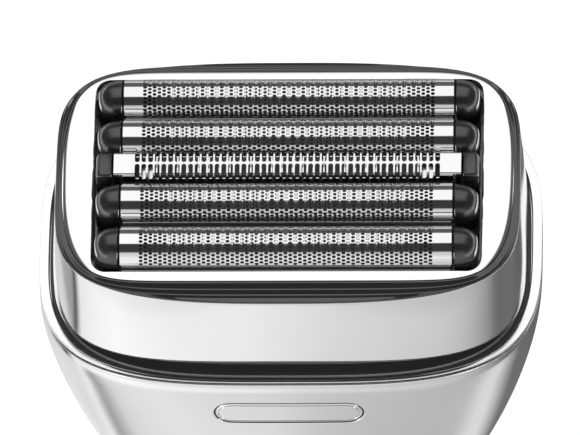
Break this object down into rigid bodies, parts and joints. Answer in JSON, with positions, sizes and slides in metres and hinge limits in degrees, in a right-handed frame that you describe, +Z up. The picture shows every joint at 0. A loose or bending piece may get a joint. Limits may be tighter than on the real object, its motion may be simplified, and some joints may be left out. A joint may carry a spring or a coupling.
{
  "type": "electric shaver",
  "caption": "Compact palm-sized foil shaver: tapering silver body with a front power button, swinging head, lift-off foil cassette with floating foils, slotted comb and reciprocating cutters.",
  "frame": {"origin": "centre of the flat foot the shaver stands on", "axes": "+Z up through the foils, +X to the right along the foils, the button side faces -Y"},
  "size_m": [0.07, 0.0508, 0.0643],
  "materials": {
    "body_silver": "smooth satin polish",
    "polished_trim": "mirror polish",
    "neck_rubber": "matte black",
    "black_gloss": "glossy black",
    "foil_steel": "bright perforated sheet",
    "cutter_steel": "ground edges",
    "black_matte": "matte black",
    "inner_plastic": "matte grey",
    "hardware_steel": "plain",
    "magnet": "nickel plated",
    "copper_wire": "enamelled copper wire",
    "cell_wrap": "heat shrink wrap",
    "board": "solder mask"
  },
  "bodies": {
    "body": {"housing_shell": "body_silver", "trim_ring": "polished_trim", "neck_seal": "neck_rubber", "bottom_cover": "black_matte", "cover_screw_left": "hardware_steel", "cover_screw_right": "hardware_steel", "foot_ring": "neck_rubber", "usb_socket": "hardware_steel", "chassis": "inner_plastic", "battery": "cell_wrap", "circuit_board": "board", "tact_switch": "black_matte", "pivot_pin_left": "hardware_steel", "pivot_pin_right": "hardware_steel"},
    "button": {"power_button": "body_silver"},
    "head": {"head_shell": "body_silver", "head_base": "black_matte", "deck_magnet_left": "magnet", "deck_magnet_right": "magnet", "motor_mount": "inner_plastic", "stator_core": "hardware_steel", "stator_coil": "copper_wire", "guide_rod_front": "hardware_steel", "guide_rod_rear": "hardware_steel"},
    "drive_rear": {"mover_rear": "inner_plastic", "mover_magnet_rear": "magnet"},
    "drive_front": {"mover_front": "inner_plastic", "mover_magnet_front": "magnet"},
    "cassette": {"cassette_frame": "black_gloss", "bezel": "polished_trim", "catch_plate_left": "hardware_steel", "catch_plate_right": "hardware_steel"},
    "element_1": {"foil_1": "foil_steel", "end_cap_1_left": "black_gloss", "end_cap_1_right": "black_gloss"},
    "cutter_1": {"cutter_1": "cutter_steel"},
    "element_2": {"foil_2": "foil_steel", "end_cap_2_left": "black_gloss", "end_cap_2_right": "black_gloss"},
    "cutter_2": {"cutter_2": "cutter_steel"},
    "element_3": {"slit_comb": "foil_steel", "end_cap_3_left": "black_gloss", "end_cap_3_right": "black_gloss"},
    "cutter_3": {"cutter_3": "cutter_steel"},
    "element_4": {"foil_4": "foil_steel", "end_cap_4_left": "black_gloss", "end_cap_4_right": "black_gloss"},
    "cutter_4": {"cutter_4": "cutter_steel"},
    "element_5": {"foil_5": "foil_steel", "end_cap_5_left": "black_gloss", "end_cap_5_right": "black_gloss"},
    "cutter_5": {"cutter_5": "cutter_steel"}
  },
  "joints": [
    {"name": "button_press", "type": "slide", "parent": "body", "child": "button", "axis": [0, 1, 0], "range_m": [0, 0.0006], "stiffness_N_per_m": 1500, "springref_m": -0.0002},
    {"name": "head_swing", "type": "hinge", "parent": "body", "child": "head", "pos_m": [0, 0, 0.0505], "axis": [1, 0, 0], "range_deg": [-4, 4], "stiffness_Nm_per_rad": 0.5},
    {"name": "drive_rear_slide", "type": "slide", "parent": "head", "child": "drive_rear", "axis": [1, 0, 0], "range_m": [-0.001, 0.001], "stiffness_N_per_m": 2000},
    {"name": "drive_front_slide", "type": "slide", "parent": "head", "child": "drive_front", "axis": [1, 0, 0], "range_m": [-0.001, 0.001]},
    {"name": "cassette_lift", "type": "slide", "parent": "head", "child": "cassette", "axis": [0, 0, 1], "range_m": [0, 0.012]},
    {"name": "float_1", "type": "slide", "parent": "cassette", "child": "element_1", "axis": [0, 0, 1], "range_m": [-0.0015, 0], "stiffness_N_per_m": 300, "springref_m": 0.001},
    {"name": "float_2", "type": "slide", "parent": "cassette", "child": "element_2", "axis": [0, 0, 1], "range_m": [-0.0015, 0], "stiffness_N_per_m": 300, "springref_m": 0.001},
    {"name": "float_3", "type": "slide", "parent": "cassette", "child": "element_3", "axis": [0, 0, 1], "range_m": [-0.0015, 0], "stiffness_N_per_m": 300, "springref_m": 0.001},
    {"name": "float_4", "type": "slide", "parent": "cassette", "child": "element_4", "axis": [0, 0, 1], "range_m": [-0.0015, 0], "stiffness_N_per_m": 300, "springref_m": 0.001},
    {"name": "float_5", "type": "slide", "parent": "cassette", "child": "element_5", "axis": [0, 0, 1], "range_m": [-0.0015, 0], "stiffness_N_per_m": 300, "springref_m": 0.001},
    {"name": "cutter_1_float", "type": "slide", "parent": "drive_rear", "child": "cutter_1", "axis": [0, 0, 1], "range_m": [-0.0015, 0]},
    {"name": "cutter_2_float", "type": "slide", "parent": "drive_rear", "child": "cutter_2", "axis": [0, 0, 1], "range_m": [-0.0015, 0]},
    {"name": "cutter_3_float", "type": "slide", "parent": "drive_rear", "child": "cutter_3", "axis": [0, 0, 1], "range_m": [-0.0015, 0]},
    {"name": "cutter_4_float", "type": "slide", "parent": "drive_front", "child": "cutter_4", "axis": [0, 0, 1], "range_m": [-0.0015, 0]},
    {"name": "cutter_5_float", "type": "slide", "parent": "drive_front", "child": "cutter_5", "axis": [0, 0, 1], "range_m": [-0.0015, 0]}
  ],
  "couplings": [
    {"joint": "drive_front_slide", "follows": "drive_rear_slide", "ratio": -1},
    {"joint": "cutter_1_float", "follows": "float_1", "ratio": 1},
    {"joint": "cutter_2_float", "follows": "float_2", "ratio": 1},
    {"joint": "cutter_3_float", "follows": "float_3", "ratio": 1},
    {"joint": "cutter_4_float", "follows": "float_4", "ratio": 1},
    {"joint": "cutter_5_float", "follows": "float_5", "ratio": 1}
  ]
}
